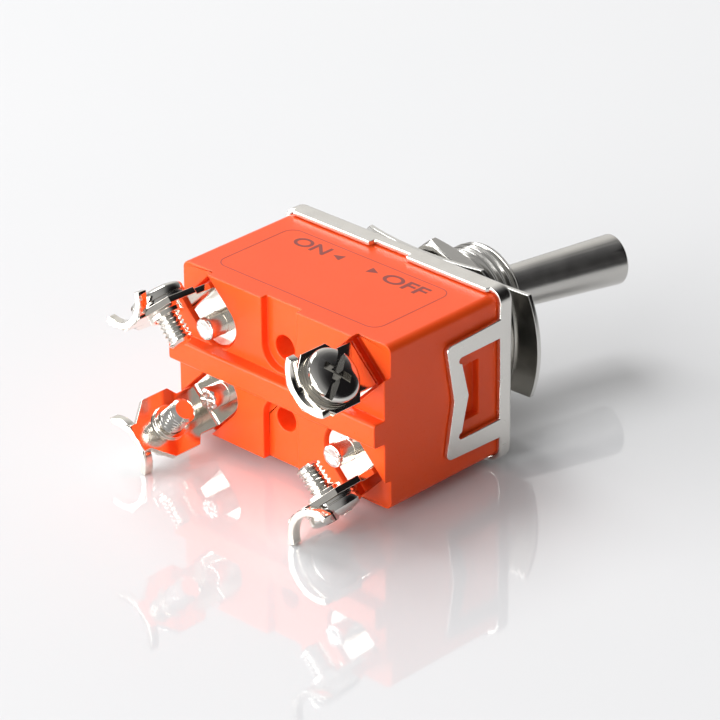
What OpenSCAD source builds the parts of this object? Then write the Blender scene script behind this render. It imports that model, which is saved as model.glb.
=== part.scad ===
// Panel toggle switch, double pole, two positions, four screw terminals.
// The bushing points along -Y, the moulded body lies behind at +Y, and the
// long sides of the body face up and down. The origin is on the bushing axis,
// in the front face of the metal frame.

/* [Housing] */
// Length of the moulded body
body_l = 33; // [31:0.5:36]
// Width of the body across its two long sides
body_w = 20.8; // [20:0.2:23]
// Distance from the frame's front face to the outer corners of the terminal face
body_d = 19.8; // [19:0.2:23]
// Radius of the body's four long edges
body_r = 1; // [0.8:0.1:2.4]
// Wall between the outside and the two pole chambers
body_wall = 1.6; // [1.2:0.1:2]
// Floor between the chambers and the terminal face
body_floor = 3; // [2.6:0.1:3.6]
// Height of the raised pads on the terminal face
pad_h = 1; // [0.6:0.1:1.4]
// Height of the barrier rib between the poles, above the terminal face
rib_h = 2.7; // [1.6:0.1:4]
// Thickness of the barrier rib
rib_t = 3; // [2.4:0.1:3.6]
// Width of the channel across the middle of each pole
channel_w = 5.5; // [4:0.1:6.5]
// Diameter of the unused centre rivet holes
spare_hole_d = 3; // [2:0.1:3.4]

/* [Frame] */
// Thickness of the sheet steel of the frame
sheet_t = 0.6; // [0.5:0.1:0.8]
// Inside radius of the bend between the frame's face and its lip
bend_r = 0.2; // [0.2:0.05:0.4]
// Depth of the frame's long lips, from its front face
lip_d = 2.9; // [2.5:0.1:3.4]
// Depth of the frame's end lips, from its front face
end_lip_d = 2.3; // [2:0.1:2.4]
// Gap between the lip and the body
lip_gap = 0.1; // [0.05:0.01:0.2]
// Width of the notch in the middle of each long lip
notch_w = 5.7; // [3:0.1:9]
// Reach of the two end loops, from the frame's front face
loop_d = 11.2; // [9.5:0.1:13]
// Width of each end loop
loop_w = 15.2; // [12:0.2:16]
// Width of the strip that makes the loop
loop_strip = 2.4; // [1.6:0.1:2.6]
// Depth of the crimp in the loop's crossbar
crimp_d = 1.2; // [0.6:0.1:1.8]

/* [Bushing] */
// Outer diameter of the threaded bushing
bushing_d = 12; // [12:0.1:12.6]
// Length of the bushing in front of the frame
bushing_l = 14.2; // [13.4:0.1:15]
// Diameter of the staked flange behind the frame
flange_d = 14.4; // [14:0.2:16]
// Thickness of the staked flange
flange_t = 1.2; // [1:0.1:1.3]

/* [Mounting hardware] */
// Width of the hex nuts across their flats
nut_af = 15; // [14.4:0.1:16]
// Thickness of each hex nut
nut_t = 2.4; // [2:0.1:2.8]
// Thickness of the bowed washer
washer_t = 0.6; // [0.4:0.05:0.8]
// Outer radius of the bowed washer
washer_r = 12.7; // [9:0.1:13]
// Height of the bowed washer between its straight edges
washer_w = 18; // [14:0.2:20]
// Radius of the washer's bow
washer_bow = 38; // [32:1:90]
// Radius of the two round ends of the indicator plate
plate_r = 16.3; // [14:0.1:18]
// Rim of the indicator plate between its hole and its straight edges
plate_rim = 0.45; // [0.4:0.05:2]
// Thickness of the indicator plate
plate_t = 0.6; // [0.4:0.05:0.8]

/* [Lever] */
// Angle between the lever and the bushing axis at each stop
throw_a = 15; // [12:0.5:15.5]
// Distance from the frame's front face back to the lever's pivot
pivot_d = 8; // [7:0.1:8.6]
// Reach of the lever from its pivot to its tip
lever_reach = 23.8; // [20:0.2:30]
// Diameter of the lever's tip
tip_d = 6.3; // [5.6:0.1:7.2]
// Diameter of the lever where it leaves the bushing
neck_d = 5; // [4.2:0.1:5.4]
// Diameter of the lever's ball
ball_d = 7.6; // [7:0.1:7.7]
// Diameter of the pivot pin
pin_d = 1.8; // [1.4:0.1:2.2]

/* [Terminals] */
// Distance of each rivet from the body's end
rivet_inset = 6.4; // [6:0.1:6.8]
// Distance of each rivet from the body's long side
rivet_margin = 5.85; // [5.6:0.05:6]
// Diameter of the rivets
rivet_d = 2.8; // [2.2:0.1:3]
// Height of the rivet's end above the terminal's foot
rivet_stub = 2.5; // [1:0.1:3]
// Thickness of the terminal strip
strip_t = 0.8; // [0.6:0.05:0.9]
// Width of the terminal's foot and neck
foot_w = 5.6; // [5:0.1:5.8]
// Distance from the rivet to the upright face of the terminal
tab_r = 3.5; // [3.4:0.05:3.8]
// Outward lean of the terminal's upright tab
tab_lean = 2; // [0:0.5:4]
// Width of the tab's six-sided plate
tab_w = 7.7; // [7:0.1:8.2]
// Height of the tab above its bend
tab_h = 10.7; // [10:0.1:12]
// Width of the tab's crossbar along the tab
wing_w = 1.2; // [0.9:0.1:1.6]
// Outer radius of the crossbar's curve
wing_r = 4.45; // [4:0.05:5]
// Angle from the middle of the crossbar's curve to each tip
wing_a = 63; // [55:1:68]
// Height of the screw above the tab's bend
screw_h = 5.65; // [5:0.05:6]
// Diameter of the terminal screw's thread
screw_d = 3; // [2.6:0.1:3.2]
// Diameter of the terminal screw's head
head_d = 6.6; // [5.8:0.1:6.8]
// Height of the terminal screw's head
head_h = 2.1; // [1.6:0.1:2.4]
// Length of the terminal screw under its head
screw_l = 4.9; // [4:0.1:5.2]

/* [Mechanism] */
// Distance from the middle to the centre of each pole
pole_z = 4.6; // [4.4:0.05:4.8]
// Diameter of the plungers
plunger_d = 3; // [2.6:0.1:3.2]
// Tilt of the rocker contacts at each stop
rock_a = 6; // [5:0.25:6.5]
// Upward bend of each rocker arm
arm_a = 4.5; // [3.5:0.25:5]
// Width of the rocker contacts and of the strips below them
contact_w = 4.8; // [4:0.1:5.2]
// Thickness of the contact strips
contact_t = 0.8; // [0.6:0.05:0.9]

/* [Hidden] */
$fn = 64;

// clearances
running = 0.05;       // radial, between a turning or sliding pair
seat = 0.1;           // between a fitted piece and its pocket
dead_centre = 0.12;   // plunger to rocker when both stand upright

// housing
half_l = body_l / 2;
half_w = body_w / 2;
pad_y = body_d + pad_h;
rib_y = body_d + rib_h;
front_y = sheet_t + seat;
ease = bend_r + 0.2;                 // step that clears the bend of the frame
ledge = 0.6;                         // ledge that carries the insulator
insulator_t = 0.5;
insulator_y = sheet_t + flange_t + running;
chamber_y = insulator_y + insulator_t;
chamber_l = body_l - 2 * (body_wall + ledge);
chamber_w = body_w - 2 * body_wall;
floor_y = body_d - body_floor;
barrier_t = 1.5;
barrier_h = 7;                       // depth of the wall between the chambers
barrier_y = floor_y - barrier_h;
catch_y = 5.2;                       // pocket under the crimp of each end loop
catch_l = 4.1;
catch_w = 7;
catch_d = 1;

// terminal pockets, along the diagonal through each rivet
rivet_x = half_l - rivet_inset;
rivet_z = half_w - rivet_margin;
rivet_head = 0.8;                    // overhang of the inner head
rivet_head_h = 0.7;
slot_w = foot_w + 0.6;
foot_y = body_d - 0.25;              // underside of the foot
foot_top = foot_y + strip_t;
groove_r = tab_r - 0.2;
groove_w = strip_t + 1;
groove_d = 0.9;
rivet_bore = rivet_d / 2;

// frame
frame_l = body_l + 2 * (lip_gap + sheet_t);
frame_w = body_w + 2 * (lip_gap + sheet_t);
frame_r = body_r + lip_gap + sheet_t;
notch_d = 0.9;
loop_r = 0.8;                        // outer corners of the end loops
loop_taper = 0.3;                    // narrowing of each loop towards its crossbar
loop_relief = 0.4;                   // round relief in the window's outer corners

// bushing and lever
pivot_y = -pivot_d;
pin_inset = 0.8;                     // ends of the pin below the thread
ball_r = ball_d / 2;
bore_r = ball_r + 0.25;
bore_h = 3;                          // straight part of the bore at the ball
stem_r = 1.9;
bush_r = bushing_d / 2;
mouth_r = (bushing_l - pivot_d) * tan(throw_a) + neck_d / 2 / cos(throw_a) + 0.6;
tail_r = (pivot_d + sheet_t + flange_t) * tan(throw_a) + stem_r / cos(throw_a) + 0.35;

// stack on the bushing, from the frame forwards
washer_y = -nut_t;
washer_rise = washer_bow - sqrt(washer_bow * washer_bow - washer_r * washer_r);
plate_y = washer_y - washer_t - washer_rise;
plate_w = bushing_d + 2 * (seat + plate_rim);
plate_turn = 2;
nut_y = plate_y - plate_t;
nut_front = nut_y - nut_t;
relief_l = 0.8;                      // thread relief hidden under the front nut
relief_h = 0.4;
rear_nut_turn = 12;
front_nut_turn = -17;

// lever, measured from the pivot along the lever
contact_room = 5.9;                  // from the rockers' contact face to the floor
rocker_y = floor_y - contact_room;
plunger_out = 2;                     // plunger's reach out of the carrier
carrier_gap = 1.35;                  // from the insulator to the carrier
carrier_top = pivot_d + chamber_y + carrier_gap;
carrier_end = rocker_y - pivot_y - plunger_out;
stem_seat = 2.6;                     // depth of the stem in the carrier
carrier_l = 6;
carrier_w = 13.2;
plunger_tip = rocker_y - pivot_y - dead_centre;
plunger_r = plunger_d / 2;
bore_cap = 1;                        // carrier's wall above the bores
spring_top = carrier_top + bore_cap;
spring_l = 2.58;
plunger_top = spring_top + spring_l;
spring_wire = 0.35;
spring_turns = 4.5;

// rockers and fixed contacts
post_t = 1.2;
strip_end = 2.4;                     // strip beyond the rivet's axis
arm_l = 8.2;
fulcrum_r = 0.5;
fulcrum_y = rocker_y + contact_t;
button_x = 7.4;
button_d = 2.4;
button_t = 0.7;
edge = 0.2;                          // strip beyond a contact button
net_a = rock_a - arm_a;              // slope of an arm that is pressed down
make_y = fulcrum_y + button_x * tan(net_a) + button_t + 0.12;
contact_y = floor_y - contact_t;

// terminals, in a frame with x outwards along the diagonal and y along the tab
bend_ri = 0.4;
bend_ro = bend_ri + strip_t;
bend_x = tab_r - bend_ri;
bend_y = foot_top + bend_ri;
collar_d = screw_d + 1.2;
collar_h = 0.6;
wing_cx = bend_ri + wing_r;

// ---- helpers -------------------------------------------------------------

// stands a flat outline, drawn in X and Z, up from y0 to y1
module along_y(y0, y1) {
    translate([0, y1, 0]) rotate([90, 0, 0]) linear_extrude(y1 - y0) children();
}

// a body turned about the Y axis from a profile of [radius, y] points
module turned_y(points) {
    rotate([-90, 0, 0]) rotate_extrude($fn = 96) polygon(points);
}

// rectangle with round corners, about the middle
module rounded(l, w, r) {
    square([l - 2 * r, w], center = true);
    square([l, w - 2 * r], center = true);
    for (x = [-1, 1], z = [-1, 1]) translate([x * (l / 2 - r), z * (w / 2 - r)]) circle(r);
}

// one of the four terminal corners: a frame with x outwards along the diagonal
module corner(sx, sz) {
    mirror([sx < 0 ? 1 : 0, 0, 0]) mirror([0, 0, sz < 0 ? 1 : 0])
        translate([rivet_x, 0, rivet_z]) rotate([0, -45, 0]) children();
}

// the frame of a terminal's leaning tab: x through the sheet, y along the tab
module tab_frame() {
    translate([bend_x, bend_y, 0]) rotate([0, 0, -tab_lean]) children();
}

// the frame of the lever at its rest stop: y from the pivot along the lever
module lever_frame() {
    translate([0, pivot_y, 0]) rotate([0, 0, -throw_a]) children();
}

// ---- housing -------------------------------------------------------------

// plan of one diagonal pocket: a slot with a round inner end
module slot_plan(reach) {
    circle(slot_w / 2);
    translate([0, -slot_w / 2]) square([reach, slot_w]);
}

// plan of the channel across one pole: open at the edge, round at the rib
module channel_plan() {
    translate([0, pole_z]) circle(channel_w / 2);
    translate([-channel_w / 2, pole_z]) square([channel_w, half_w]);
}

module housing() {
    color("orangered") difference() {
        union() {
            along_y(front_y + ease, body_d) rounded(body_l, body_w, body_r);
            along_y(front_y, front_y + ease + 0.1)
                rounded(body_l - 2 * ease, body_w - 2 * ease, body_r - ease);
            // raised pads, cut back by the channels
            difference() {
                along_y(body_d - 0.5, pad_y) rounded(body_l, body_w, body_r);
                for (s = [0, 1]) mirror([0, 0, s]) along_y(body_d, pad_y + 1) channel_plan();
            }
            // barrier rib with eased edges
            translate([-half_l, 0, 0]) rotate([90, 0, 90]) linear_extrude(body_l) rib_section();
        }
        // terminal pockets: foot seat, corner step and the groove for the bend
        for (sx = [-1, 1], sz = [-1, 1]) corner(sx, sz) {
            along_y(foot_y, rib_y + 1) slot_plan(groove_r + groove_w);
            translate([groove_r + groove_w - 0.01, body_d, -slot_w / 2])
                cube([body_w, rib_h + 1, slot_w]);
            translate([groove_r, foot_y - groove_d, -slot_w / 2])
                cube([groove_w, rib_h + 2, slot_w]);
            along_y(floor_y - 1, foot_y + 1) circle(rivet_bore);
        }
        // spare centre holes
        for (z = [-1, 1]) translate([0, 0, z * pole_z])
            along_y(floor_y - 1, pad_y) circle(spare_hole_d / 2);
        // seat of the insulator, and the two pole chambers behind it
        along_y(front_y - 1, chamber_y) square([chamber_l + 2 * ledge, chamber_w], center = true);
        along_y(chamber_y - 1, barrier_y) square([chamber_l, chamber_w], center = true);
        for (s = [0, 1]) mirror([0, 0, s]) along_y(barrier_y - 1, floor_y)
            translate([-chamber_l / 2, barrier_t / 2]) square([chamber_l, (chamber_w - barrier_t) / 2]);
        // catch pockets in the end walls
        for (s = [-1, 1]) translate([s * half_l, catch_y + catch_l / 2, 0])
            cube([2 * catch_d, catch_l, catch_w], center = true);
    }
}

// cross-section of the rib: drawn with x along Y and y along Z
module rib_section() {
    e = 0.4;
    translate([body_d - 1, -rib_t / 2]) square([rib_h + 1 - e, rib_t]);
    translate([body_d - 1, -rib_t / 2 + e]) square([rib_h + 1, rib_t - 2 * e]);
    for (z = [-1, 1]) translate([rib_y - e, z * (rib_t / 2 - e)]) circle(e);
}

// ---- frame ---------------------------------------------------------------

// end loop, drawn with x along Y and y along Z: a strip round a window,
// with its crossbar crimped to a shallow V
module loop_plan() {
    w = loop_w / 2;
    e = w - loop_taper;
    v = w - loop_strip;
    inner = loop_d - loop_strip;
    difference() {
        union() {
            polygon([[sheet_t + bend_r, -w], [loop_d - loop_r, -e], [loop_d, -e + loop_r],
                [loop_d - crimp_d, 0], [loop_d, e - loop_r], [loop_d - loop_r, e], [sheet_t + bend_r, w]]);
            for (z = [-1, 1]) translate([loop_d - loop_r, z * (e - loop_r)]) circle(loop_r);
        }
        polygon([[end_lip_d, -v], [inner, -v], [inner - crimp_d, 0], [inner, v], [end_lip_d, v]]);
        for (z = [-1, 1]) translate([inner, z * (v - loop_relief)]) circle(loop_relief);
    }
}

// box with round corners whose front edges are bent to radius r, from y0 back to y1
module tray(l, w, corner_r, r, y0, y1) {
    along_y(y0, y0 + r + 0.01) rounded(l - 2 * r, w - 2 * r, corner_r - r);
    along_y(y0 + r, y1) rounded(l, w, corner_r);
    // the bend: straight along the sides, part of a ring at each corner
    for (s = [0, 1]) mirror([0, 0, s]) translate([0, y0 + r, w / 2 - r]) rotate([0, 90, 0])
        cylinder(r = r, h = l - 2 * corner_r, center = true);
    for (s = [0, 1]) mirror([s, 0, 0]) translate([l / 2 - r, y0 + r, 0])
        cylinder(r = r, h = w - 2 * corner_r, center = true);
    for (x = [-1, 1], z = [-1, 1]) translate([x * (l / 2 - corner_r), y0 + r, z * (w / 2 - corner_r)])
        rotate([90, 0, 0]) rotate_extrude() translate([corner_r - r, 0]) intersection() {
            circle(r);
            translate([r - corner_r, -r]) square([corner_r, 2 * r]);
        }
}

module frame() {
    color("silver") difference() {
        union() {
            difference() {
                tray(frame_l, frame_w, frame_r, sheet_t + bend_r, 0, lip_d);
                tray(frame_l - 2 * sheet_t, frame_w - 2 * sheet_t, frame_r - sheet_t, bend_r,
                    sheet_t, lip_d + 1);
                // shallower lips at the two ends
                for (s = [-1, 1]) translate([s * frame_l / 2, end_lip_d + frame_w, 0])
                    cube([2 * frame_r, 2 * frame_w, 2 * frame_w], center = true);
            }
            for (s = [0, 1]) mirror([s, 0, 0])
                translate([frame_l / 2 - sheet_t, 0, 0]) rotate([90, 0, 90])
                    linear_extrude(sheet_t) loop_plan();
        }
        // notches in the long lips
        translate([-notch_w / 2, lip_d - notch_d, -frame_w]) cube([notch_w, 2, 2 * frame_w]);
        // hole for the bushing
        along_y(-1, sheet_t + 1) circle(bush_r);
    }
}

// sheet between the frame and the chambers, with a slot for the lever
module insulator() {
    slot = 2 * (tail_r + 0.3);
    color("tan") difference() {
        along_y(insulator_y, insulator_y + insulator_t)
            square([chamber_l + 2 * (ledge - seat), chamber_w - 2 * seat], center = true);
        along_y(insulator_y - 1, insulator_y + 2) square([slot, 2 * stem_r + 1.2], center = true);
    }
}

// ---- bushing and pivot ---------------------------------------------------

module bushing() {
    back = sheet_t + flange_t;
    color("silver") difference() {
        turned_y([
            [mouth_r, -bushing_l], [bush_r - 0.4, -bushing_l], [bush_r, -bushing_l + 0.4],
            [bush_r, nut_front], [bush_r - relief_h, nut_front],
            [bush_r - relief_h, nut_front + relief_l], [bush_r, nut_front + relief_l],
            [bush_r, sheet_t], [flange_d / 2, sheet_t], [flange_d / 2, back], [tail_r, back],
            [bore_r, pivot_y + bore_h / 2], [bore_r, pivot_y - bore_h / 2]]);
        translate([0, pivot_y, 0]) cylinder(d = pin_d, h = 2 * bushing_d, center = true);
    }
}

module pivot_pin() {
    color("gray") translate([0, pivot_y, 0])
        cylinder(d = pin_d, h = bushing_d - 2 * pin_inset, center = true);
}

// ---- mounting hardware ---------------------------------------------------

// hex nut with chamfered corners, from y0 forwards to -Y
module hex_nut(y0, turn) {
    corner_r = nut_af / 2 / cos(30);
    cut = 0.9;
    drop = (corner_r - nut_af / 2 + 0.2) * tan(30);
    color("silver") difference() {
        intersection() {
            rotate([0, turn, 0]) along_y(y0 - nut_t, y0) circle(corner_r, $fn = 6);
            turned_y([[0, y0 - nut_t], [nut_af / 2 - 0.2, y0 - nut_t], [corner_r + 0.01, y0 - nut_t + drop],
                [corner_r + 0.01, y0 - drop], [nut_af / 2 - 0.2, y0], [0, y0]]);
        }
        along_y(y0 - nut_t - 1, y0 + 1) circle(bush_r + running);
        turned_y([[0, y0 - nut_t - 1], [bush_r + running + cut + 0.5, y0 - nut_t - 1],
            [bush_r + running, y0 - nut_t + 0.5], [0, y0 - nut_t + 0.5]]);
    }
}

module rear_nut() {
    hex_nut(0, rear_nut_turn);
}

module front_nut() {
    hex_nut(nut_y, front_nut_turn);
}

// spring washer: a disc between two straight edges, bowed forwards at its ends
module bowed_washer() {
    axis_y = washer_y - washer_t - washer_bow;
    color("silver") difference() {
        intersection() {
            translate([0, axis_y, 0]) difference() {
                cylinder(r = washer_bow + washer_t, h = washer_w, center = true, $fn = 360);
                cylinder(r = washer_bow, h = washer_w + 2, center = true, $fn = 360);
            }
            along_y(plate_y - 1, washer_y + 1) circle(washer_r);
        }
        along_y(plate_y - 2, washer_y + 2) circle(bush_r + seat);
    }
}

// dial plate: a disc between two straight edges
module indicator_plate() {
    color("silver") rotate([0, plate_turn, 0]) along_y(plate_y - plate_t, plate_y) difference() {
        intersection() {
            circle(plate_r, $fn = 128);
            square([2 * plate_r + 1, plate_w], center = true);
        }
        circle(bush_r + seat);
    }
}

// ---- lever ---------------------------------------------------------------

module lever() {
    crown = 0.5;
    top = -lever_reach;
    color("silver") lever_frame() difference() {
        union() {
            turned_y(concat(
                [[0, top]],
                [for (i = [0 : 4]) let (a = i * 22.5)
                    [tip_d / 2 - crown + crown * sin(a), top + 0.15 + crown * (1 - cos(a))]],
                [[neck_d / 2, -ball_r + 1], [neck_d / 2, 0], [0, 0]]));
            sphere(ball_r, $fn = 96);
            along_y(0, carrier_top + stem_seat) circle(stem_r);
        }
        cylinder(r = pin_d / 2 + running, h = 2 * ball_d, center = true);
    }
}

// moulded carrier on the lever's stem, with one plunger bore for each pole
module plunger_carrier() {
    color("dimgray") lever_frame() difference() {
        along_y(carrier_top, carrier_end) rounded(carrier_l, carrier_w, 1);
        along_y(carrier_top - 1, carrier_top + stem_seat + seat) circle(stem_r);
        for (z = [-1, 1]) translate([0, 0, z * pole_z])
            along_y(spring_top, carrier_end + 1) circle(plunger_r + running);
    }
}

module plunger(s) {
    color("gold") lever_frame() translate([0, 0, s * pole_z]) {
        along_y(plunger_top, plunger_tip - plunger_r) circle(plunger_r);
        intersection() {
            translate([0, plunger_tip - plunger_r, 0]) sphere(plunger_r);
            along_y(plunger_tip - plunger_r, plunger_tip + 1) circle(plunger_d);
        }
    }
}

// coil spring between the bottom of the bore and the plunger
module spring(s) {
    sides = 6;
    per_turn = 12;
    rings = spring_turns * per_turn;
    coil_r = plunger_r - spring_wire / 2 - 0.1;
    y0 = spring_top + spring_wire / 2 + 0.02;
    y1 = plunger_top - spring_wire / 2 - 0.02;
    function ring(i) = [for (k = [0 : sides - 1])
        let (a = 360 * i / per_turn, b = 360 * k / sides, r = coil_r + spring_wire / 2 * cos(b))
        [r * cos(a), y0 + (y1 - y0) * i / rings + spring_wire / 2 * sin(b), r * sin(a)]];
    points = [for (i = [0 : rings]) each ring(i)];
    walls = [for (i = [0 : rings - 1], k = [0 : sides - 1])
        let (a = i * sides + k, b = i * sides + (k + 1) % sides) [a, b, b + sides, a + sides]];
    ends = [[for (k = [sides - 1 : -1 : 0]) k], [for (k = [0 : sides - 1]) rings * sides + k]];
    color("lightgray") lever_frame() translate([0, 0, s * pole_z])
        polyhedron(points, concat(walls, ends), convexity = 6);
}

// ---- contacts ------------------------------------------------------------

// shallow V of strip that rocks on the common strip's edge
module rocker(s) {
    color("goldenrod") translate([0, fulcrum_y, s * pole_z]) rotate([0, 0, rock_a]) {
        for (m = [0, 1]) mirror([m, 0, 0]) rotate([0, 0, -arm_a])
            translate([-0.05, -contact_t, -contact_w / 2]) cube([arm_l, contact_t, contact_w]);
        rotate([0, 0, arm_a]) translate([-button_x, 0, 0]) along_y(-0.1, button_t) circle(button_d / 2);
    }
}

// strip from the ON end rivet to the fulcrum under the middle of the rocker
module common_strip(s) {
    color("goldenrod") translate([0, 0, s * pole_z]) difference() {
        union() {
            translate([-post_t / 2, contact_y, -contact_w / 2])
                cube([rivet_x + strip_end + post_t / 2, contact_t, contact_w]);
            translate([-post_t / 2, fulcrum_y + fulcrum_r, -contact_w / 2])
                cube([post_t, contact_y - fulcrum_y, contact_w]);
            translate([0, fulcrum_y + fulcrum_r, 0])
                cylinder(r = fulcrum_r, h = contact_w, center = true);
        }
        translate([rivet_x, 0, s * (rivet_z - pole_z)])
            along_y(contact_y - 1, floor_y + 1) circle(rivet_bore);
    }
}

// strip from the OFF end rivet, folded back over itself below the rocker's arm
module fixed_contact(s) {
    outer = rivet_x + strip_end;
    inner = button_x - button_d / 2 - edge;
    shelf = button_x + button_d / 2 + edge;
    top_y = make_y + button_t;
    color("goldenrod") translate([0, 0, s * pole_z]) difference() {
        union() {
            translate([-outer, contact_y, -contact_w / 2]) cube([outer - inner, contact_t, contact_w]);
            translate([-inner - contact_t, top_y, -contact_w / 2])
                cube([contact_t, floor_y - top_y, contact_w]);
            translate([-shelf, top_y, -contact_w / 2]) cube([shelf - inner, contact_t, contact_w]);
            translate([-button_x, 0, 0]) along_y(make_y, top_y + 0.1) circle(button_d / 2);
        }
        translate([-rivet_x, 0, s * (rivet_z - pole_z)])
            along_y(contact_y - 1, floor_y + 1) circle(rivet_bore);
    }
}

// ---- terminals -----------------------------------------------------------

// outline of the tab, drawn with x along the tab and y across it
module tab_plan() {
    n = foot_w / 2;
    w = tab_w / 2;
    stem = 1.7;
    flat0 = screw_h - 2.35;
    flat1 = screw_h + 1.55;
    polygon([[0, -n], [flat0 - 0.8, -n], [flat0, -w], [flat1, -w], [tab_h - wing_w + 0.1, -stem],
        [tab_h - 0.1, -stem], [tab_h - 0.1, stem], [tab_h - wing_w + 0.1, stem],
        [flat1, w], [flat0, w], [flat0 - 0.8, n], [0, n]]);
}

// one stamped strip: round foot, bend, six-sided plate and a curved crossbar
module terminal(sx, sz) {
    color("gainsboro") corner(sx, sz) difference() {
        union() {
            along_y(foot_y, foot_top) {
                circle(foot_w / 2);
                translate([0, -foot_w / 2]) square([bend_x, foot_w]);
            }
            translate([bend_x, bend_y, 0]) rotate([0, 0, -90]) rotate_extrude(angle = 90 - tab_lean)
                translate([bend_ri, -foot_w / 2]) square([strip_t, foot_w]);
            tab_frame() {
                translate([bend_ri, 0, 0]) rotate([90, 0, 90]) linear_extrude(strip_t) tab_plan();
                // collar drawn inwards for the screw
                translate([bend_ri - collar_h, screw_h, 0]) rotate([0, 90, 0])
                    cylinder(d = collar_d, h = collar_h + 0.1);
                // crossbar
                translate([wing_cx, tab_h, 0]) rotate([90, 0, 0]) rotate([0, 0, 180 - wing_a])
                    rotate_extrude(angle = 2 * wing_a)
                        translate([wing_r - strip_t, 0]) square([strip_t, wing_w]);
            }
        }
        along_y(foot_y - 1, foot_top + 1) circle(rivet_bore);
        tab_frame() translate([-2, screw_h, 0]) rotate([0, 90, 0])
            cylinder(r = screw_d / 2 + running, h = 6);
    }
}

// pan head screw, driven from outside towards the middle of the switch
module screw(sx, sz) {
    seat_x = bend_ro;
    edge_h = 1.4;
    color("gainsboro") corner(sx, sz) tab_frame() translate([seat_x, screw_h, 0]) rotate([0, 90, 0])
        rotate_extrude($fn = 96) polygon([[0, -screw_l], [screw_d / 2 - 0.3, -screw_l],
            [screw_d / 2, -screw_l + 0.3], [screw_d / 2, 0], [head_d / 2, 0], [head_d / 2, edge_h],
            [head_d / 2 * 0.86, edge_h + (head_h - edge_h) * 0.6], [head_d / 2 * 0.55, head_h], [0, head_h]]);
}

// rivet that holds a terminal outside and its contact strip inside
module rivet(sx, sz) {
    color("silver") corner(sx, sz) {
        along_y(contact_y, foot_top + rivet_stub) circle(rivet_bore);
        along_y(contact_y - rivet_head_h, contact_y) circle(rivet_bore + rivet_head);
    }
}

// ---- the switch ----------------------------------------------------------

housing();
frame();
bushing();
pivot_pin();
insulator();
rear_nut();
front_nut();
bowed_washer();
indicator_plate();
lever();
plunger_carrier();
plunger(1);  // plunger_upper
plunger(-1);  // plunger_lower
spring(1);  // spring_upper
spring(-1);  // spring_lower
rocker(1);  // rocker_upper
rocker(-1);  // rocker_lower
common_strip(1);  // common_strip_upper
common_strip(-1);  // common_strip_lower
fixed_contact(1);  // fixed_contact_upper
fixed_contact(-1);  // fixed_contact_lower
terminal(1, 1);  // terminal_on_upper
terminal(1, -1);  // terminal_on_lower
terminal(-1, 1);  // terminal_off_upper
terminal(-1, -1);  // terminal_off_lower
screw(1, 1);  // screw_on_upper
screw(1, -1);  // screw_on_lower
screw(-1, 1);  // screw_off_upper
screw(-1, -1);  // screw_off_lower
rivet(1, 1);  // rivet_on_upper
rivet(1, -1);  // rivet_on_lower
rivet(-1, 1);  // rivet_off_upper
rivet(-1, -1);  // rivet_off_lower
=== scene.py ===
"""A panel toggle switch with screw terminals, lying on a pale studio table."""
from math import atan2, cos, pi, radians, sin, sqrt

import bmesh
import bpy
from mathutils import Matrix, Vector
from mathutils.bvhtree import BVHTree


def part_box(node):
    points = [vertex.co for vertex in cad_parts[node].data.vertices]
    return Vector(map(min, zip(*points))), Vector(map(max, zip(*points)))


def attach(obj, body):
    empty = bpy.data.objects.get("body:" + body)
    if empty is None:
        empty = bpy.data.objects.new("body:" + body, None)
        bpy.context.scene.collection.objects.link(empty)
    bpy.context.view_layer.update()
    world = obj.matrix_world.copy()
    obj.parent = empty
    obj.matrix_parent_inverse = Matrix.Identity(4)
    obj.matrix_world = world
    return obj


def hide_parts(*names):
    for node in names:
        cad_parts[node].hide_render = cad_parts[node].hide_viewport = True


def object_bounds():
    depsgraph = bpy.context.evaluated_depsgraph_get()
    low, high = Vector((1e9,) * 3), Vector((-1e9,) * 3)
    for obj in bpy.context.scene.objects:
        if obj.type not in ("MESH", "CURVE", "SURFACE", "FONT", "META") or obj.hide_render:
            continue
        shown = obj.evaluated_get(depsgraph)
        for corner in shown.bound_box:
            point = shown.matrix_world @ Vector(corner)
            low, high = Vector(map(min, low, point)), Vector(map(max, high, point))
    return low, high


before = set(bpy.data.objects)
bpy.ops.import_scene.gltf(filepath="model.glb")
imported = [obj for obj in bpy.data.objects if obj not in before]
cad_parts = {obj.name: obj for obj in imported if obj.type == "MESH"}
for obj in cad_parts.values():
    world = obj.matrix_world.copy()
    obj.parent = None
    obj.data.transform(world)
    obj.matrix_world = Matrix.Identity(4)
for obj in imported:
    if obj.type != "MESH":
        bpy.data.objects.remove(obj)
cad_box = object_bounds()

# ---- camera ----------------------------------------------------------------
# A long lens looks down at the terminal end, from behind the OFF side.
# The bushing points away to the right.
mm = 0.001
azimuth, elevation, roll = radians(224.0), radians(27.16), radians(-0.51)
distance, aside, below, behind_panel = 468.3, 4.04, 3.35, 1.7    # in millimetres
back = Vector((sin(azimuth) * cos(elevation), -cos(azimuth) * cos(elevation), sin(elevation)))
level = (-back).cross(Vector((0, 0, 1))).normalized()
upright = level.cross(-back)
right = level * cos(roll) + upright * sin(roll)
up = upright * cos(roll) - level * sin(roll)
spot = (back * distance * mm - right * aside * mm - up * below * mm
        + Vector((0, behind_panel * mm, 0)))
camera_data = bpy.data.cameras.new("camera")
camera_data.sensor_width = 36
camera_data.lens = 200
camera_data.clip_start = 0.01
camera = bpy.data.objects.new("camera", camera_data)
camera.matrix_world = Matrix((
    (right.x, up.x, back.x, spot.x),
    (right.y, up.y, back.y, spot.y),
    (right.z, up.z, back.z, spot.z),
    (0, 0, 0, 1)))
scene = bpy.context.scene
scene.collection.objects.link(camera)
scene.camera = camera
scene.view_settings.view_transform = "Standard"


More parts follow.
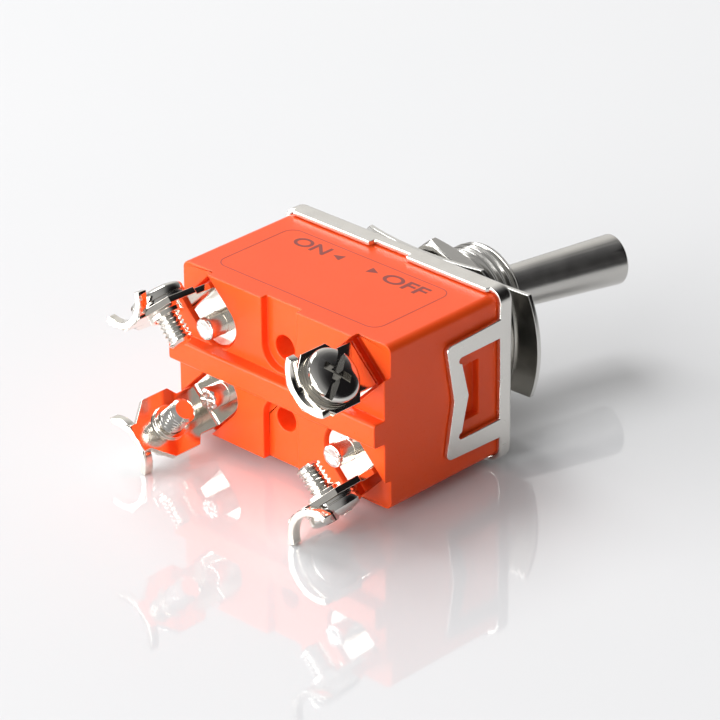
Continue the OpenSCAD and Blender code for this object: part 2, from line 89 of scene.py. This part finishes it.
# ---- table and light -------------------------------------------------------
# A sheet of glossy white acrylic, which carries a faint mirror image. A square
# soft box hangs above the ON side, and a broad, low one stands well off the
# terminal end.
class Value:
    """A shader socket that can be used in sums."""

    def __init__(self, tree, socket):
        self.tree, self.socket = tree, socket

    def node(self, kind, settings=(), inputs=(), out=0):
        """Adds a node: its settings first, then the values or links of its sockets."""
        made = self.tree.nodes.new(kind)
        for key, value in dict(settings).items():
            setattr(made, key, value)
        for key, value in dict(inputs).items():
            if isinstance(value, Value):
                self.tree.links.new(value.socket, made.inputs[key])
            else:
                made.inputs[key].default_value = value
        return Value(self.tree, made.outputs[out])

    def maths(self, operation, first, second=0.0):
        return self.node("ShaderNodeMath", {"operation": operation}, {0: first, 1: second})

    def __add__(self, other):
        return self.maths("ADD", self, other)

    def __sub__(self, other):
        return self.maths("SUBTRACT", self, other)

    def __rsub__(self, other):
        return self.maths("SUBTRACT", other, self)

    def __mul__(self, other):
        return self.maths("MULTIPLY", self, other)

    def __pow__(self, other):
        return self.maths("POWER", self, other)

    __radd__, __rmul__ = __add__, __mul__

    def blend(self, low, high):
        """A colour between low and high, with this value as the share of high."""
        low, high = [(*c, 1) if isinstance(c, tuple) else c for c in (low, high)]
        return self.node("ShaderNodeMix", {"data_type": "RGBA"}, {0: self, 6: low, 7: high}, 2)

    def scaled(self, factor):
        """This vector, stretched by one number or by three."""
        factor = factor if isinstance(factor, tuple) else (factor,) * 3
        return self.node("ShaderNodeVectorMath", {"operation": "MULTIPLY"}, {0: self, 1: factor})

    def noise(self, scale, detail=4.0, roughness=0.55):
        return self.node("ShaderNodeTexNoise", (), {
            "Vector": self, "Scale": scale, "Detail": detail, "Roughness": roughness})

    def stretch(self, low, high, to_low=0.0, to_high=1.0):
        """This value with low..high spread over to_low..to_high."""
        return self.node("ShaderNodeMapRange", (), {
            "Value": self, "From Min": low, "From Max": high, "To Min": to_low, "To Max": to_high})


def new_finish(name, **constants):
    """A material, its place in millimetres, and a call that joins values to its shader."""
    material = bpy.data.materials.new(name)
    material.use_nodes = True
    tree = material.node_tree
    shader = tree.nodes["Principled BSDF"]
    for key, value in constants.items():
        shader.inputs[key.replace("_", " ")].default_value = value
    here = Value(tree, None).node("ShaderNodeTexCoord", out=3).scaled(1 / mm)

    def join(**links):
        for key, value in links.items():
            tree.links.new(value.socket, shader.inputs[key.replace("_", " ")])
    return material, here, join


def relief(height, depth):
    """A normal from a height value; depth is the height of its full range, in metres."""
    return height.node("ShaderNodeBump", (), {"Height": height, "Distance": depth, "Strength": 1.0})


rest_z, half = cad_box[0][2], 3                # the table's height and half its side, in metres
table_mesh = bpy.data.meshes.new("table")
table_mesh.from_pydata(
    [(x, y, rest_z) for x, y in ((-half, -half), (half, -half), (half, half), (-half, half))],
    [], [(0, 1, 2, 3)])
table = bpy.data.objects.new("table", table_mesh)
scene.collection.objects.link(table)
acrylic, here, join = new_finish("acrylic", IOR=1.75)
haze = here.noise(0.012, 3.0)
join(Base_Color=haze.blend((0.765, 0.775, 0.79), (0.795, 0.795, 0.805)),
     Roughness=haze * 0.04 + 0.02)
table.data.materials.append(acrylic)

# the room: a pale wall past the ON side of the bushing, a dark corner past its
# OFF side, and grey beyond the terminal end
world = bpy.data.worlds.new("studio")
world.use_nodes = True
scene.world = world
toward = Value(world.node_tree, None).node("ShaderNodeTexCoord", out=0)


def facing(way):
    """How far a direction of the room points one way."""
    return toward.node("ShaderNodeVectorMath", {"operation": "DOT_PRODUCT"}, {0: toward, 1: way}, 1)


pale_wall = facing((0.75, -0.55, 0.37)).stretch(0.48, 0.97) ** 2
grey_side = facing((-0.30, 0.88, 0.37)).stretch(0.05, 0.90)
walls = pale_wall.blend((0.15, 0.15, 0.155), (0.90, 0.89, 0.87))
room = grey_side.blend(walls, (0.45, 0.45, 0.45))
dark_corner = facing((-0.665, -0.655, 0.358)).stretch(0.68, 0.94)
backdrop = world.node_tree.nodes["Background"].inputs
world.node_tree.links.new(dark_corner.blend(room, (0.012, 0.011, 0.012)).socket, backdrop["Color"])
backdrop["Strength"].default_value = 0.9


def soft_box(name, place, size, power):
    """A rectangular lamp that faces the switch."""
    lamp = bpy.data.lights.new(name, "AREA")
    lamp.shape, lamp.size, lamp.size_y, lamp.energy = "RECTANGLE", size[0], size[1], power
    stand = bpy.data.objects.new(name, lamp)
    stand.location = place
    stand.rotation_euler = (-Vector(place)).to_track_quat("-Z", "Y").to_euler()
    scene.collection.objects.link(stand)


soft_box("overhead_box", (0.60, -0.15, 0.85), (0.6, 0.6), 6.6)
soft_box("window_box", (0.50, 1.37, 0.40), (2.4, 1.0), 52.0)


# ---- body ------------------------------------------------------------------
# The body is moulded in one piece from orange thermoset, with slightly eased
# edges and a fine moulded skin. Its upper face is printed.
def eased_copy(node, width):
    """A copy of a CAD node's surface, its sharp edges rounded over to a width in millimetres."""
    weld, flat, sharp = 2e-6, radians(0.5), radians(35)
    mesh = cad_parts[node].data.copy()
    piece = bpy.data.objects.new(node + "_finished", mesh)
    scene.collection.objects.link(piece)
    work = bmesh.new()
    work.from_mesh(mesh)
    bmesh.ops.remove_doubles(work, verts=work.verts, dist=weld)
    bmesh.ops.dissolve_limit(work, angle_limit=flat, verts=work.verts, edges=work.edges)
    work.to_mesh(mesh)
    surface = BVHTree.FromBMesh(work)
    work.free()
    mesh.materials.clear()
    if width:
        bevel = piece.modifiers.new("eased edges", "BEVEL")
        bevel.width, bevel.segments, bevel.limit_method = width * mm, 2, "ANGLE"
        bevel.angle_limit, bevel.use_clamp_overlap = sharp, False
        bevel.miter_outer = "MITER_ARC"
    settled(piece)
    for v in piece.data.vertices:              # corners thrown out by the rounding go back
        place, _, _, gap = surface.find_nearest(v.co)
        if width and gap > width * mm:
            v.co = place
    return piece


def apply_modifiers(piece):
    """Puts what the modifiers make in the place of the piece's mesh."""
    scene_graph = bpy.context.evaluated_depsgraph_get()
    piece.data = bpy.data.meshes.new_from_object(piece.evaluated_get(scene_graph))
    piece.modifiers.clear()


def settled(piece, angle=35):
    """Applies the modifiers and shades the piece smooth except at its sharp edges."""
    apply_modifiers(piece)
    piece.data.shade_smooth()
    piece.data.set_sharp_from_angle(angle=radians(angle))
    flat = piece.modifiers.new("flat faces", "WEIGHTED_NORMAL")
    flat.keep_sharp = True
    apply_modifiers(piece)
    return piece


def finished(piece, material, body, slot, *nodes):
    """Gives a piece its finish and body, and hides the CAD nodes that it stands for; its slot is not used.
    """
    piece.data.materials.clear()
    piece.data.materials.append(material)
    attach(piece, body)
    if nodes:
        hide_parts(*nodes)
    return piece


moulding, here, join = new_finish(
    "orange_moulding", IOR=1.5, Specular_IOR_Level=0.3, Subsurface_Weight=0.12,
    Subsurface_Scale=0.0015, Subsurface_Radius=(1.0, 0.25, 0.05))
cloud = here.noise(0.16, 3.0)
skin = here.noise(5.0, 6.0, 0.65)
speck = here.noise(22.0, 2.0)
join(
    Base_Color=cloud.blend((0.93, 0.084, 0.010), (0.98, 0.097, 0.014)),
    Roughness=skin.stretch(0.3, 0.7, 0.26, 0.36),
    Normal=relief(skin * 0.6 + speck * 0.4, 0.006 * mm))
finished(eased_copy("housing", 0.15), moulding, "switch_body", "housing", "housing")


# ---- print -----------------------------------------------------------------
# Screen-printed in dark ink on the upper face: a thin border, and ON and OFF
# with an arrow each. The ink stands about a hundredth of a millimetre proud.
def ink(name, dark, pale):
    material, here, join = new_finish(name, IOR=1.45)
    wear = here.noise(3.0, 5.0)
    join(Base_Color=wear.blend(dark, pale), Roughness=wear * 0.2 + 0.3,
         Normal=relief(wear, 0.004 * mm))
    return material


letter_ink = ink("letter_ink", (0.20, 0.026, 0.020), (0.30, 0.036, 0.026))
border_ink = ink("border_ink", (0.40, 0.036, 0.020), (0.52, 0.046, 0.024))
face_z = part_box("housing")[1][2]
film = 0.015 * mm


def printed(name, mesh, material):
    """Turns a flat mesh on the upper face into a film of ink that reaches into the body."""
    piece = bpy.data.objects.new(name, mesh)
    scene.collection.objects.link(piece)
    layer = piece.modifiers.new("film", "SOLIDIFY")
    layer.thickness, layer.offset = 2 * film, -1
    return finished(settled(piece), material, "switch_body", "housing")


def flat_mesh(name, rings, faces):
    """Flat faces on the upper face, from lists of (x, y) points in millimetres."""
    mesh = bpy.data.meshes.new(name)
    mesh.from_pydata(
        [(x * mm, y * mm, face_z + film) for ring in rings for x, y in ring], [], faces)
    return mesh


def border_ring(low, high, radius, inset):
    """The points of a rectangle with round corners, set in from its edge."""
    ring = []
    for start, x, y in ((0, high[0], high[1]), (90, low[0], high[1]),
                        (180, low[0], low[1]), (270, high[0], low[1])):
        for step in range(9):
            a = radians(start + 90 * step / 8)
            ring.append((x - (radius if x == high[0] else -radius) + (radius - inset) * cos(a),
                         y - (radius if y == high[1] else -radius) + (radius - inset) * sin(a)))
    return ring


border_low, border_high, border_round, border_line = (-12.4, 5.1), (13.2, 17.9), 1.6, 0.13
rings = [border_ring(border_low, border_high, border_round, inset) for inset in (0, border_line)]
count = len(rings[0])
printed("border_print", flat_mesh("border_print", rings, [
    (i, (i + 1) % count, count + (i + 1) % count, count + i) for i in range(count)]), border_ink)
for name, ring in (("on_arrow", [(4.45, 7.2), (3.1, 6.55), (3.1, 7.85)][::-1]),
                   ("off_arrow", [(-2.65, 7.2), (-1.3, 7.85), (-1.3, 6.55)][::-1])):
    printed(name, flat_mesh(name, [ring], [(0, 1, 2)]), letter_ink)


type_size, letter_h, added_stroke = 2.9, 2.1, 0.05


def word(name, text, start, reach):
    """A printed word that reads towards -X, with the tops of its letters towards -Y."""
    letters = bpy.data.curves.new(name, "FONT")
    letters.body, letters.size = text, type_size * mm
    letters.resolution_u, letters.offset = 8, added_stroke * mm
    source = bpy.data.objects.new(name + "_source", letters)
    scene.collection.objects.link(source)
    scene_graph = bpy.context.evaluated_depsgraph_get()
    mesh = bpy.data.meshes.new_from_object(source.evaluated_get(scene_graph))
    bpy.data.objects.remove(source)
    xs = [v.co.x for v in mesh.vertices]
    ys = [v.co.y for v in mesh.vertices]
    wide = reach * mm / (max(xs) - min(xs))
    tall = letter_h * mm / (max(ys) - min(ys))
    for v in mesh.vertices:
        v.co = (start[0] * mm - (v.co.x - min(xs)) * wide,
                start[1] * mm - (v.co.y - min(ys)) * tall, face_z + film)
    return printed(name, mesh, letter_ink)


word("on_print", "ON", (10.6, 8.2), 5.2)
word("off_print", "OFF", (-3.75, 8.3), 6.5)


# ---- frame -----------------------------------------------------------------
# Pressed from one sheet of nickel-plated steel, folded round the front of the
# body, with a loop down each end that is crimped into the moulding.
def nickel(name, tone, rough, depth=0.002, grain=(1.0, 1.0, 1.0)):
    """Nickel plate; depth is that of its unevenness, in millimetres."""
    material, here, join = new_finish(name, Metallic=1.0)
    cloud = here.scaled(grain).noise(0.5, 5.0)
    fine = here.scaled(grain).noise(9.0, 4.0, 0.6)
    pale = tuple(min(1, c * 1.12) for c in tone)
    join(
        Base_Color=cloud.blend(tone, pale),
        Roughness=cloud.stretch(0.3, 0.7, rough - 0.05, rough + 0.05) + (fine - 0.5) * 0.1,
        Normal=relief(cloud * 0.6 + fine * 0.4, depth * mm))
    return material


frame_nickel = nickel("frame_nickel", (0.74, 0.72, 0.68), 0.22, 0.003, (1.0, 1.0, 4.0))
half_x, half_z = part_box("frame")[1][0] / mm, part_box("frame")[1][2] / mm
sheet, bend, corner, hole = 0.6, 0.8, 1.7, 6.05    # thickness, radii of bends, corners and hole
lip, notch, end_lip = 2.9, 2.0, 2.3                # depths of the lips
lip_half, notch_mouth, notch_floor = 15.3, 2.95, 2.85    # half widths along a long lip
loop, crossbar, crimp = 11.2, 8.8, 1.2             # outer and inner edge of the crossbar, its V
column, window, tip_z = 7.6, 5.2, 7.3              # half widths of a loop: root, window, tip
window_round, window_dip, tip_round = 0.4, 0.08, 0.8    # roundings of a loop's corners

# stations round the rim: a centre, a direction outwards and the depth of the lip
stations = []
for turn in range(4):
    way_x, way_z = round(cos(turn * pi / 2)), round(sin(turn * pi / 2))
    if turn % 2 == 0:
        sides = [(end_lip, t) for t in (-column, -window, 0, window, column)]
        near, far = half_x - corner, half_z - corner
    else:
        sides = [(lip, -lip_half), (lip, -notch_mouth), (notch, -notch_floor),
                 (notch, notch_floor), (lip, notch_mouth), (lip, lip_half)]
        near, far = half_z - corner, half_x - corner
    stations += [(near * way_x - t * way_z, near * way_z + t * way_x, way_x, way_z, depth)
                 for depth, t in sides]
    for step in range(7):
        a = (turn + step / 6) * pi / 2
        stations.append((near * way_x - far * way_z, near * way_z + far * way_x,
                         cos(a), sin(a), end_lip))

work = bmesh.new()
fold = [(bend - bend * sin(a), bend - bend * cos(a)) for a in (pi * i / 12 for i in range(1, 7))]
rim = [[]]                                         # rings of points, from the hole outwards
for x, z, nx, nz, depth in stations:
    place = Vector((x + nx * (corner - bend), 0, z + nz * (corner - bend))).normalized() * hole
    rim[0].append(work.verts.new(place * mm))
for inset, y in [(bend, 0)] + fold + [(0, None)]:
    rim.append([work.verts.new((
        (x + nx * (corner - inset)) * mm, (depth if y is None else y) * mm,
        (z + nz * (corner - inset)) * mm)) for x, z, nx, nz, depth in stations])
for low, high in zip(rim, rim[1:]):
    for i in range(len(low)):
        j = (i + 1) % len(low)
        work.faces.new((low[i], low[j], high[j], high[i]))
# the end loops, each drawn as two halves that meet in the V of the crossbar
for side in (1, -1):
    root = {round(v.co.z / mm, 2): v for v in rim[-1] if abs(v.co.x - side * half_x * mm) < 1e-7}

    def point(y, z):
        return work.verts.new((side * half_x * mm, y * mm, z * mm))
    mid_in, mid_out = point(crossbar - crimp, 0), point(loop - crimp, 0)
    for half_way in (1, -1):
        inner = point(crossbar, half_way * window)
        window_corner = [point(crossbar + window_round * sin(radians(a)),
                               half_way * (window - window_round + window_round * cos(radians(a))))
                         for a in (45, 90, 135)]
        window_corner.append(point(crossbar - window_dip, half_way * (window - 2 * window_round)))
        outer = [point(loop - tip_round + tip_round * sin(radians(a)),
                       half_way * (tip_z - tip_round + tip_round * cos(radians(a))))
                 for a in (0, 22, 45, 68, 86)]
        work.faces.new((root[half_way * window], root[half_way * column], outer[0], inner))
        work.faces.new([inner] + outer + [mid_out, mid_in] + window_corner[::-1])
bmesh.ops.recalc_face_normals(work, faces=work.faces)
frame_mesh = bpy.data.meshes.new("frame_finished")
work.to_mesh(frame_mesh)
work.free()
frame_piece = bpy.data.objects.new("frame_finished", frame_mesh)
scene.collection.objects.link(frame_piece)
sheet_metal = frame_piece.modifiers.new("sheet", "SOLIDIFY")
sheet_metal.thickness, sheet_metal.offset, sheet_metal.use_even_offset = sheet * mm, -1, True
rounding = frame_piece.modifiers.new("eased edges", "BEVEL")
rounding.width, rounding.segments = 0.12 * mm, 2
rounding.limit_method, rounding.angle_limit = "ANGLE", radians(60)
finished(settled(frame_piece, 40), frame_nickel, "switch_body", "frame", "frame")


# ---- bushing ---------------------------------------------------------------
# Turned from bar, threaded M12 with a 1 mm pitch over its whole outside,
# opened into a mouth for the lever, and held by a flange behind the frame.
def turned(name, profile, segments=96, closed=False, thread=None):
    """A surface turned about the Y axis from (radius, y) points in millimetres.
    A thread is (pitch, depth, start, end, radius): it cuts a helix into the points
    from that radius outwards."""
    pitch, depth, start, end, crest = thread or (1, 0, 0, 0, 0)
    work = bmesh.new()
    rings = []
    for radius, y in profile:
        ring = []
        for k in range(segments):
            a = 2 * pi * k / segments
            r = radius
            if thread and start <= y <= end and radius >= crest:
                # a V with a narrow flat at crest and root, which runs out at both ends
                phase = (y / pitch + k / segments) % 1
                cut = min(1, max(0, (1 - abs(2 * phase - 1)) * 1.25 - 0.12))
                fade = min(1, (y - start) / (0.5 * pitch), (end - y) / (0.5 * pitch))
                r -= depth * cut * fade
            if r > 0 or k == 0:
                ring.append(work.verts.new((r * sin(a) * mm, y * mm, r * cos(a) * mm)))
            else:
                ring.append(ring[0])
        rings.append(ring)
    pairs = list(zip(rings, rings[1:])) + ([(rings[-1], rings[0])] if closed else [])
    for low, high in pairs:
        for k in range(segments):
            j = (k + 1) % segments
            outline = []
            for v in (low[k], low[j], high[j], high[k]):
                if v not in outline:
                    outline.append(v)
            if len(outline) > 2:
                work.faces.new(outline)
    bmesh.ops.recalc_face_normals(work, faces=work.faces)
    mesh = bpy.data.meshes.new(name)
    work.to_mesh(mesh)
    work.free()
    piece = bpy.data.objects.new(name, mesh)
    scene.collection.objects.link(piece)
    return piece


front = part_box("bushing")[0][1] / mm
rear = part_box("bushing")[1][1] / mm
thread_r, thread_end, lead_in, ring_gap = 6.0, 0.6, 0.45, 0.0625
flange_r, flange_y, rear_bore = 7.2, 0.8, 4.6
mouth, bore, bore_half, ball_y = 4.68, 4.05, 1.5, -8.0
outside = [(5.55, front), (5.75, front + 0.1), (thread_r, front + lead_in)]
steps = int((thread_end - front - lead_in) / ring_gap)
outside += [(thread_r, front + lead_in + (thread_end - front - lead_in) * i / steps)
            for i in range(1, steps + 1)]
bushing_profile = outside + [
    (flange_r, flange_y), (flange_r, rear), (rear_bore, rear), (bore, ball_y + bore_half),
    (bore, ball_y - bore_half), (mouth, front + 0.1), (mouth + 0.1, front)]
bushing_nickel = nickel("bushing_nickel", (0.66, 0.645, 0.61), 0.17, grain=(1.0, 3.0, 1.0))
bushing = turned("bushing_finished", bushing_profile, 128, True,
                 (1.0, 0.5, front + 0.3, thread_end, thread_r - 0.1))
finished(settled(bushing, 50), bushing_nickel, "switch_body", "bushing", "bushing")

# ---- nuts and washers ------------------------------------------------------
# Hex nuts cut from bar and chamfered, a washer pressed to a shallow bow, and
# a flat plate with two straight edges; all nickel-plated.
nut_nickel = nickel("nut_nickel", (0.68, 0.665, 0.63), 0.17)
finished(eased_copy("rear_nut", 0.12), nut_nickel, "switch_body", "nut", "rear_nut")
finished(eased_copy("front_nut", 0.12), nut_nickel, "front_nut", "nut", "front_nut")
sheet_nickel = nickel("sheet_nickel", (0.68, 0.67, 0.64), 0.2, 0.004)
finished(eased_copy("bowed_washer", 0.1), sheet_nickel, "switch_body", "washer", "bowed_washer")
finished(eased_copy("indicator_plate", 0.1), sheet_nickel, "switch_body", "plate",
         "indicator_plate")

# ---- lever -----------------------------------------------------------------
# The bat lever is turned from steel with a slight taper and a round tip, and
# polished before plating.
lever_nickel = nickel("lever_nickel", (0.60, 0.585, 0.555), 0.2)
finished(eased_copy("lever", 0), lever_nickel, "lever", "lever", "lever")

# ---- terminals -------------------------------------------------------------
# Stamped from nickel-plated strip and bent up at the foot, with a tapped
# collar and a curved crossbar that keeps a wire under the screw.
terminal_nickel = nickel("terminal_nickel", (0.79, 0.755, 0.69), 0.11, 0.008)
quarters = {"on_upper": (1, 1), "on_lower": (1, -1), "off_upper": (-1, 1), "off_lower": (-1, -1)}
for corner_name in quarters:
    node = "terminal_" + corner_name
    finished(eased_copy(node, 0.08), terminal_nickel, "switch_body", "terminal", node)

# ---- screws ----------------------------------------------------------------
# Nickel-plated pan heads with a fine thread and a captive washer, cut for
# both a flat blade and a cross point; each stands turned its own way.
screw_nickel = nickel("screw_nickel", (0.72, 0.70, 0.66), 0.12, 0.003)


def block(name, low, high):
    """A cutter between two (x, y, z) corners in millimetres."""
    work = bmesh.new()
    rings = [[work.verts.new((x * mm, y * mm, z * mm)) for x, z in (
        (low[0], low[2]), (high[0], low[2]), (high[0], high[2]), (low[0], high[2]))]
        for y in (low[1], high[1])]
    work.faces.new(rings[0])
    work.faces.new(rings[1][::-1])
    for i in range(4):
        j = (i + 1) % 4
        work.faces.new((rings[0][i], rings[1][i], rings[1][j], rings[0][j]))
    bmesh.ops.recalc_face_normals(work, faces=work.faces)
    mesh = bpy.data.meshes.new(name)
    work.to_mesh(mesh)
    work.free()
    piece = bpy.data.objects.new(name, mesh)
    scene.collection.objects.link(piece)
    return piece


shank_r, thread_l, screw_l = 1.5, 4.6, 4.9
shank = [(shank_r, -thread_l + i * ring_gap) for i in range(int(thread_l / ring_gap))]
washer = [(3.2, 0), (3.3, 0.08), (3.3, 0.36), (3.1, 0.42), (3.1, 0.5)]
dome = [(3.28, 0.56), (3.3, 0.62), (3.3, 1.25), (3.24, 1.42), (3.08, 1.58), (2.8, 1.73),
        (2.4, 1.87), (1.8, 1.99), (1.0, 2.07), (0, 2.1)]
screw_profile = [(0, -screw_l), (1.15, -screw_l)] + shank + [(shank_r, 0)] + washer + dome
slot_half, slot_floor, cross_floor, cross_reach = 0.5, 1.15, 0.85, 1.75
blade = block("blade_cut", (-4, slot_floor, -slot_half), (4, 3, slot_half))
point_cut = block("point_cut", (-slot_half, cross_floor, -cross_reach), (slot_half, 3, cross_reach))
master = turned("screw_master", screw_profile, 96, False,
                (0.55, 0.3, -thread_l, -0.1, shank_r - 0.05))
for cutter in (blade, point_cut):
    cut = master.modifiers.new(cutter.name, "BOOLEAN")
    cut.operation, cut.object, cut.solver = "DIFFERENCE", cutter, "EXACT"
screw_mesh = settled(master, 32).data
for helper in (blade, point_cut, master):
    bpy.data.objects.remove(helper)

turns = {"on_upper": 20, "on_lower": 65, "off_upper": -39, "off_lower": 40}    # degrees
rivet_x, rivet_z = 10.1, 4.55                      # the feet are held by rivets here
bend_y, bend_out, bend_r = 20.75, 3.1, 1.2         # centre and outside radius of a foot's bend
screw_h = 5.65                                     # from there to the screw, along the tab
for corner_name, (sx, sz) in quarters.items():
    out, back_way, lean = Vector((sx, 0, sz)).normalized(), Vector((0, 1, 0)), radians(2)
    along = back_way * cos(lean) + out * sin(lean)
    axis = out * cos(lean) - back_way * sin(lean)
    across = along.cross(axis)
    seat = (Vector((rivet_x * sx, bend_y, rivet_z * sz)) + out * bend_out
            + axis * bend_r + along * screw_h)
    turn = radians(turns[corner_name])
    x_way = along * cos(turn) + across * sin(turn)
    z_way = x_way.cross(axis)
    mesh = screw_mesh.copy()
    mesh.transform(Matrix((
        (x_way.x, axis.x, z_way.x, seat.x * mm),
        (x_way.y, axis.y, z_way.y, seat.y * mm),
        (x_way.z, axis.z, z_way.z, seat.z * mm),
        (0, 0, 0, 1))))
    node = "screw_" + corner_name
    piece = bpy.data.objects.new(node + "_finished", mesh)
    scene.collection.objects.link(piece)
    finished(piece, screw_nickel, node, "screw", node)

# ---- rivets ----------------------------------------------------------------
# Cut from nickel-plated wire; the outer ends are left rough by the punch.
rivet_nickel = nickel("rivet_nickel", (0.74, 0.72, 0.68), 0.2, 0.01)
rivet_r, head_r, head_h = 1.4, 2.2, 0.7
for corner_name, (sx, sz) in quarters.items():
    node = "rivet_" + corner_name
    low, high = [v[1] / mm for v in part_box(node)]
    rough = 0.16 if corner_name == "on_lower" else 0.05
    piece = turned(node + "_finished", [
        (0, low), (head_r, low), (head_r, low + head_h), (rivet_r, low + head_h),
        (rivet_r, high - 0.5), (rivet_r, high - 0.3), (1.34, high - 0.12), (1.15, high - 0.02),
        (0.85, high - 0.04), (0.5, high - 0.1), (0, high - 0.1)], 48)
    for v in piece.data.vertices:
        reach = sqrt(v.co.x ** 2 + v.co.z ** 2) / mm
        if v.co.y / mm > high - 0.4 and reach > 0.1:
            a = atan2(v.co.z, v.co.x)
            dent = 0.5 + 0.3 * sin(9 * a + sx) + 0.2 * sin(5 * a + 2 * sz + reach * 3)
            v.co.y -= rough * dent * mm
            v.co.x *= 1 - rough * 0.5 * dent
            v.co.z *= 1 - rough * 0.5 * dent
    piece.data.transform(Matrix.Translation((rivet_x * sx * mm, 0, rivet_z * sz * mm)))
    finished(settled(piece, 40), rivet_nickel, "switch_body", "rivet", node)

# ---- inside ----------------------------------------------------------------
# Pin and springs are steel, the plungers, rockers and contacts are brass, the
# carrier is a dark moulding and the insulating sheet is fibre. All of them keep
# the CAD model's shapes.
brass, here, join = new_finish("brass", Metallic=1.0)
tarnish = here.noise(0.8, 5.0)
join(Base_Color=tarnish.blend((0.62, 0.36, 0.13), (0.78, 0.52, 0.24)),
     Roughness=tarnish * 0.2 + 0.2, Normal=relief(here.noise(7.0), 0.004 * mm))
dark_moulding, here, join = new_finish("dark_moulding")
skin = here.noise(4.0, 5.0)
join(Base_Color=skin.blend((0.012, 0.012, 0.014), (0.03, 0.03, 0.034)),
     Roughness=skin * 0.2 + 0.35, Normal=relief(skin, 0.01 * mm))
fibre, here, join = new_finish("fibre")
weave = here.scaled((1.0, 4.0, 1.0)).noise(3.0, 6.0)
join(Base_Color=weave.blend((0.20, 0.10, 0.04), (0.34, 0.20, 0.10)),
     Roughness=weave * 0.2 + 0.6, Normal=relief(weave, 0.02 * mm))
inner_finishes = {
    "pivot_pin": screw_nickel, "insulator": fibre, "plunger_carrier": dark_moulding,
    "spring": screw_nickel, "plunger": brass, "rocker": brass, "common_strip": brass, "fixed_contact": brass}
for node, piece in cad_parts.items():
    for start, material in inner_finishes.items():
        if node == start or node in (start + "_upper", start + "_lower"):
            piece.data.materials.clear()
            piece.data.materials.append(material)
